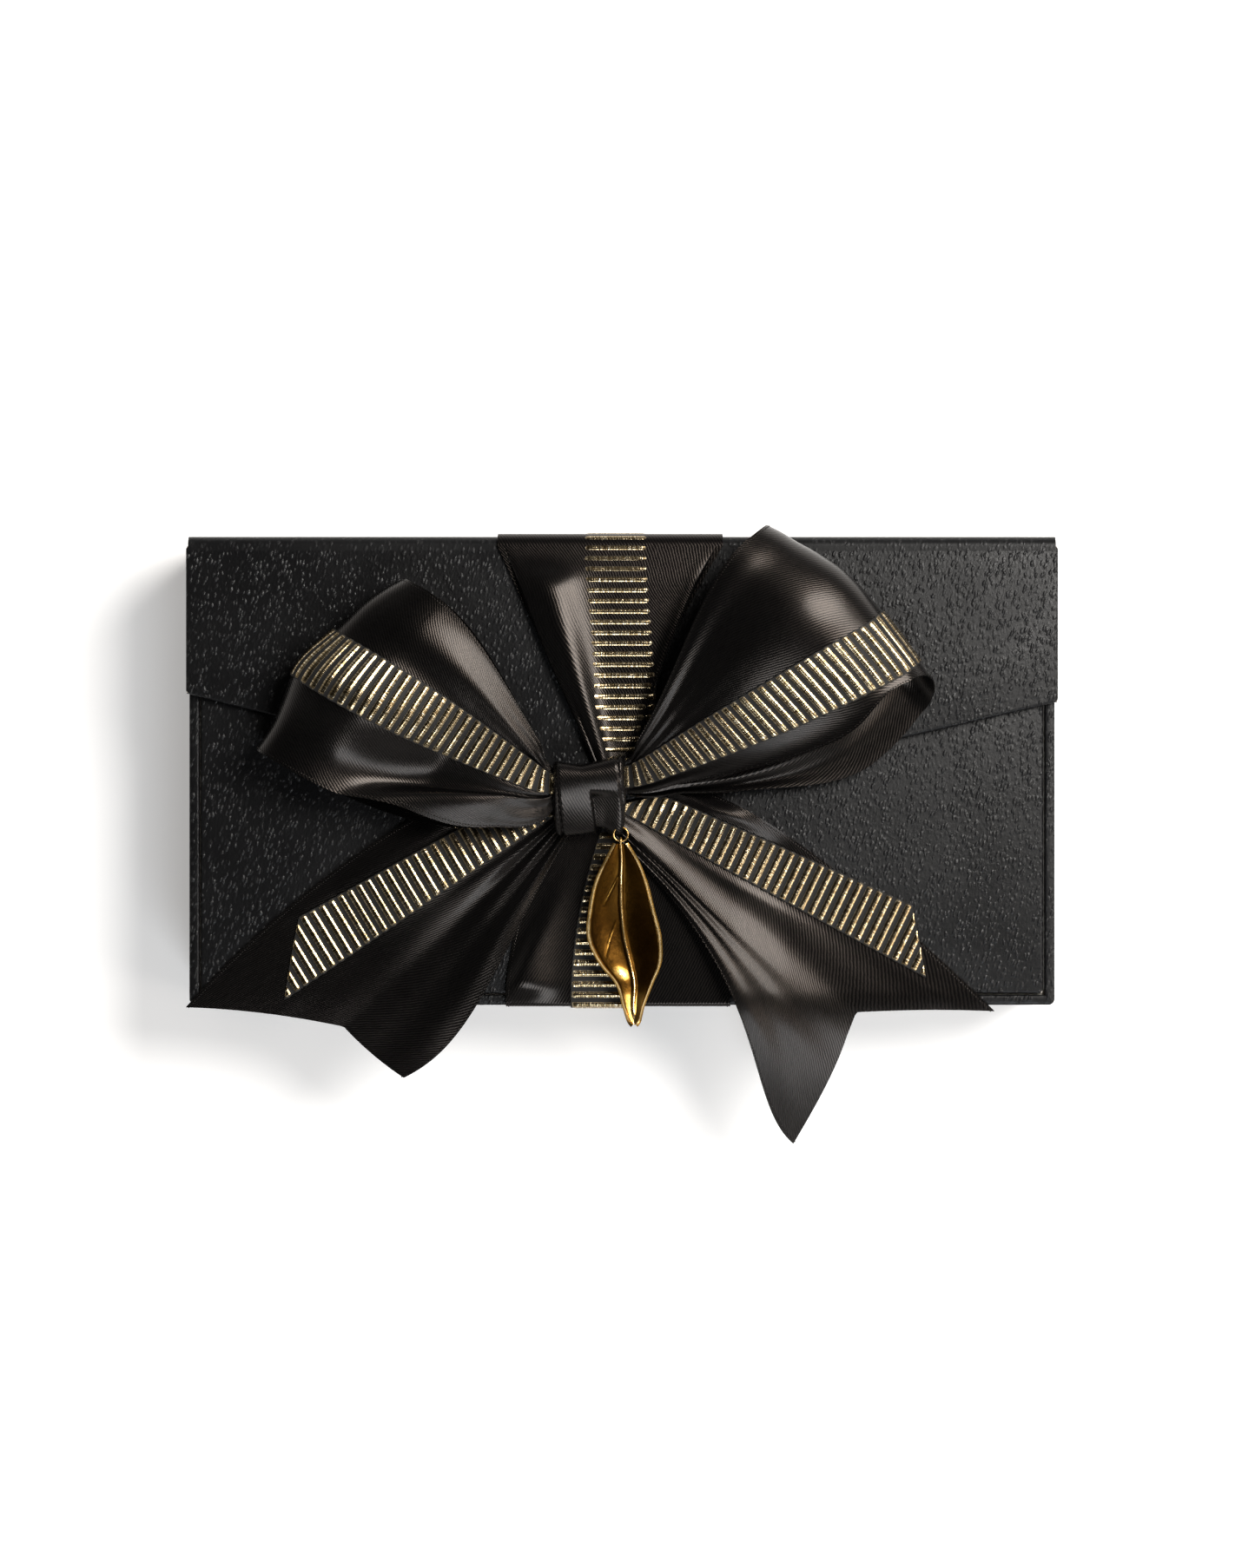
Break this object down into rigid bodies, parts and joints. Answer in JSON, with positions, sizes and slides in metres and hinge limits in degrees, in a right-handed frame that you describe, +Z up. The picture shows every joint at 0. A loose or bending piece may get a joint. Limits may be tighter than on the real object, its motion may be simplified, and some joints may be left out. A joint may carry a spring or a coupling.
{
  "type": "gift box",
  "caption": "Shallow black gift box with a V-edged magnetic flap, tied with a satin and gold-ribbed ribbon bow that carries a small gold leaf charm.",
  "frame": {"origin": "on the surface that the box rests on, under the middle of the box", "axes": "+X to the right along the box's length, +Y to the hinged back, +Z up"},
  "size_m": [0.2212, 0.1547, 0.0574],
  "materials": {
    "leatherette_paper": "pebbled, low sheen",
    "greyboard": "uncoated",
    "lining_paper": "smooth matt",
    "black_satin": "satin sheen",
    "gold_grosgrain": "ribbed metallic thread on black",
    "leaf_metal": "antique, polished edge",
    "bright_steel": "plated"
  },
  "bodies": {
    "tray": {"base_board": "greyboard", "front_wall": "greyboard", "back_wall": "greyboard", "left_wall": "greyboard", "right_wall": "greyboard", "tray_wrap": "leatherette_paper", "base_paper": "lining_paper", "floor_lining": "lining_paper", "wall_lining": "lining_paper", "panel_board": "greyboard", "panel_wrap": "leatherette_paper", "keeper_plate": "bright_steel", "front_ledge": "greyboard", "left_ledge": "greyboard", "right_ledge": "greyboard", "satin_back_run": "black_satin", "gold_back_run": "gold_grosgrain", "satin_under_run": "black_satin", "gold_under_run": "gold_grosgrain", "satin_front_run": "black_satin", "gold_front_run": "gold_grosgrain", "satin_lower_run": "black_satin", "gold_lower_run": "gold_grosgrain"},
    "flap": {"flap_lining": "lining_paper", "flap_board": "greyboard", "flap_wrap": "leatherette_paper", "flap_magnet": "bright_steel", "hinge_strip": "leatherette_paper", "satin_spine_turn": "black_satin", "gold_spine_turn": "gold_grosgrain", "satin_upper_run": "black_satin", "gold_upper_run": "gold_grosgrain", "bow_knot": "black_satin", "satin_left_loop": "black_satin", "gold_left_loop": "gold_grosgrain", "satin_right_loop": "black_satin", "gold_right_loop": "gold_grosgrain", "satin_left_tail": "black_satin", "gold_left_tail": "gold_grosgrain", "satin_right_tail": "black_satin", "gold_right_tail": "gold_grosgrain", "charm_ring": "leaf_metal"},
    "charm": {"leaf_charm": "leaf_metal"}
  },
  "joints": [
    {"name": "flap_hinge", "type": "hinge", "parent": "tray", "child": "flap", "pos_m": [0, 0.05877, 0.03867], "axis": [-1, 0, 0], "range_deg": [0, 150], "deforming": ["hinge_strip", "satin_spine_turn", "gold_spine_turn"]},
    {"name": "charm_swing", "type": "hinge", "parent": "flap", "child": "charm", "pos_m": [-0.0003, -0.0178, 0.04346], "axis": [-1, 0, 0], "range_deg": [0, 90]}
  ]
}
